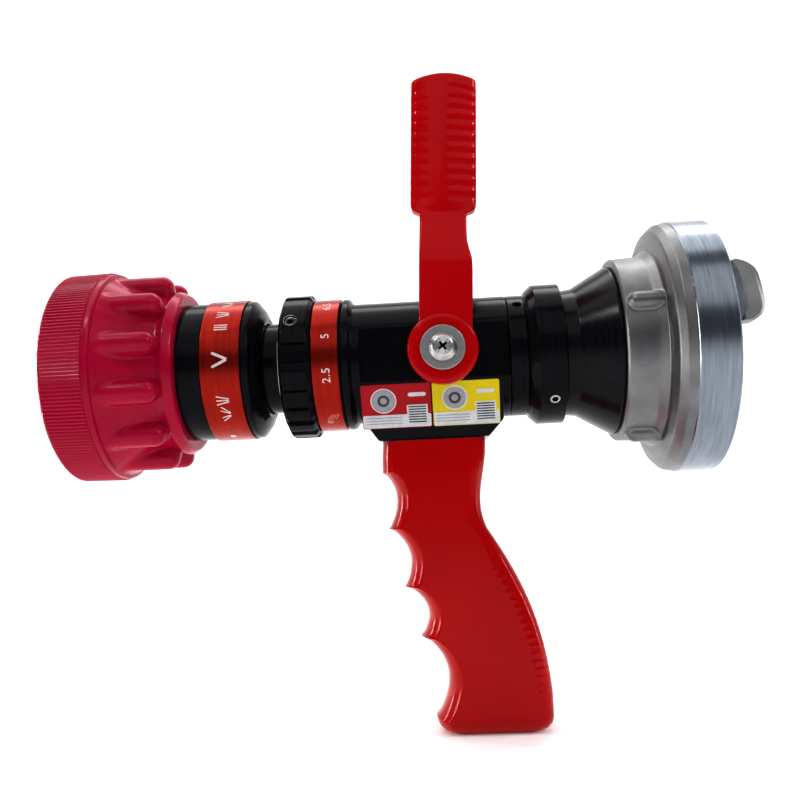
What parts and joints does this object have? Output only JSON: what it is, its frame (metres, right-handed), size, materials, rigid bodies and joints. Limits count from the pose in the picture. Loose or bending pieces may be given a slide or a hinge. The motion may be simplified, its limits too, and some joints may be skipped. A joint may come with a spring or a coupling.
{
  "type": "fire hose nozzle",
  "caption": "Pistol-grip fire hose nozzle with bail shut-off, flow selector ring, twist spray sleeve, rubber bumper and swivel hose coupling.",
  "frame": {"origin": "centre of the hose coupling's mating face, on the axis of the waterway", "axes": "+X out of the coupling towards the hose, so the nozzle points along -X; +Z towards the shut-off bail, with the pistol grip towards -Z; +Y to the nozzle's far side as it is seen with its tip to the left"},
  "size_m": [0.2969, 0.111, 0.2869],
  "materials": {
    "black_anodised_aluminium": "gloss black anodised, turned",
    "orange_red_anodised_aluminium": "orange-red anodised with circumferential satin turning marks",
    "cast_aluminium": "satin casting, machined rim",
    "red_coated_aluminium": "glossy deep red coating",
    "red_plastic": "glossy deep red moulding",
    "crimson_rubber": "semi-gloss moulded rubber",
    "black_rubber": "matte seal rubber",
    "steel": "satin stainless",
    "brass": "machined",
    "white_polymer": "seat and guide polymer",
    "black_plastic": "moulded",
    "label_red": null,
    "label_yellow": null
  },
  "bodies": {
    "body": {"valve_body": "black_anodised_aluminium", "front_barrel": "black_anodised_aluminium", "rear_retainer": "black_anodised_aluminium", "front_seat": "white_polymer", "rear_seat": "white_polymer", "seat_oring": "black_rubber", "nipple_oring": "black_rubber", "barrel_oring_front": "black_rubber", "barrel_oring_rear": "black_rubber", "flow_ring_clip": "steel", "stem_spider": "brass", "baffle_stem": "steel", "baffle_disc": "brass", "baffle_screw": "steel", "pistol_grip": "red_plastic", "grip_bolt": "steel", "grip_bolt_washer": "steel", "grip_base_plug": "black_rubber", "label_red": "label_red", "label_yellow": "label_yellow", "race_ball_1": "steel", "race_ball_2": "steel", "race_ball_3": "steel", "race_ball_4": "steel", "race_ball_5": "steel", "race_ball_6": "steel"},
    "bail": {"bail_handle": "red_coated_aluminium", "bail_washer_near": "steel", "bail_washer_far": "steel", "bail_screw_near": "steel", "bail_screw_far": "steel", "trunnion_near": "steel", "trunnion_far": "steel", "trunnion_oring_near": "black_rubber", "trunnion_oring_far": "black_rubber", "valve_ball": "steel"},
    "flow_selector": {"flow_ring": "black_anodised_aluminium", "flow_band": "orange_red_anodised_aluminium", "flow_set_screw": "steel", "detent_spring": "steel", "detent_ball": "steel"},
    "pattern_guide": {"guide_ring": "white_polymer", "guide_key": "steel"},
    "pattern_head": {"pattern_sleeve": "black_anodised_aluminium", "pattern_band": "orange_red_anodised_aluminium", "bumper": "crimson_rubber", "fog_ring": "black_plastic"},
    "coupling": {"swivel_collar": "black_anodised_aluminium", "race_plug": "steel", "cone_adapter": "black_anodised_aluminium", "hose_coupling": "cast_aluminium", "coupling_gasket": "black_rubber", "strainer": "steel", "strainer_clip": "steel"}
  },
  "joints": [
    {"name": "bail_swing", "type": "hinge", "parent": "body", "child": "bail", "pos_m": [-0.1155, 0, 0], "axis": [0, 1, 0], "range_deg": [-48, 42]},
    {"name": "flow_select", "type": "hinge", "parent": "body", "child": "flow_selector", "pos_m": [-0.1795, 0, 0], "axis": [1, 0, 0], "range_deg": [-75, 75]},
    {"name": "pattern_slide", "type": "slide", "parent": "body", "child": "pattern_guide", "axis": [1, 0, 0], "range_m": [-0.003, 0.006]},
    {"name": "pattern_turn", "type": "hinge", "parent": "pattern_guide", "child": "pattern_head", "pos_m": [-0.2155, 0, 0], "axis": [1, 0, 0], "range_deg": [-60, 120]},
    {"name": "coupling_swivel", "type": "hinge", "parent": "body", "child": "coupling", "pos_m": [-0.0688, 0, 0], "axis": [1, 0, 0], "continuous": true}
  ],
  "couplings": [
    {"joint": "pattern_slide", "follows": "pattern_turn", "m_per_rad": 0.00286}
  ]
}
